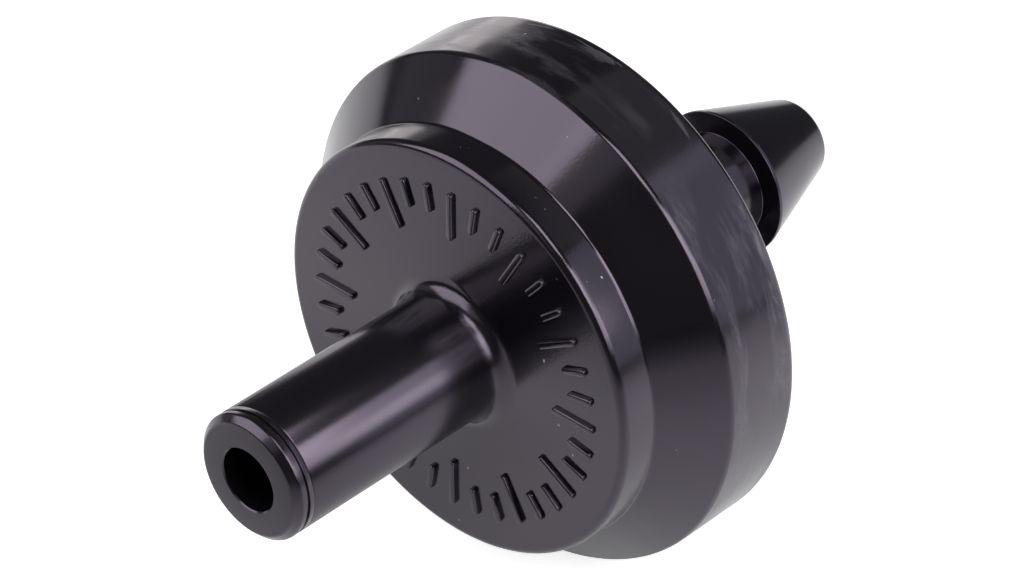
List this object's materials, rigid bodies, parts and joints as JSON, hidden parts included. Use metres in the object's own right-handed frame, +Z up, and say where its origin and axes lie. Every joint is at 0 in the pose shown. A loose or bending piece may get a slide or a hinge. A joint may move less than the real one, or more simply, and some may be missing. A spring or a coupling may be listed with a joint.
{
  "type": "drip emitter",
  "caption": "Black round button drip emitter with a barbed inlet, a stepped disc housing around a floating diaphragm and labyrinth, and a plain tubular outlet spigot.",
  "frame": {"origin": "on the turning axis at the seat, the flat end of the inlet hub that stops against the outside of the supply pipe", "axes": "+Y along the turning axis out of the inlet barb, -Y out of the outlet spigot, +Z up with the axis lying level"},
  "size_m": [0.0174, 0.025, 0.0174],
  "materials": {
    "housing_plastic": "black moulded acetal, satin",
    "insert_plastic": "black moulded polypropylene, matt",
    "silicone": "dark silicone sheet"
  },
  "bodies": {
    "housing": {"outlet_body": "housing_plastic", "labyrinth_disc": "insert_plastic", "inlet_cap": "housing_plastic"},
    "diaphragm": {"diaphragm": "silicone"}
  },
  "joints": [
    {"name": "diaphragm_lift", "type": "slide", "parent": "housing", "child": "diaphragm", "axis": [0, -1, 0], "range_m": [0, 0.0003]}
  ]
}
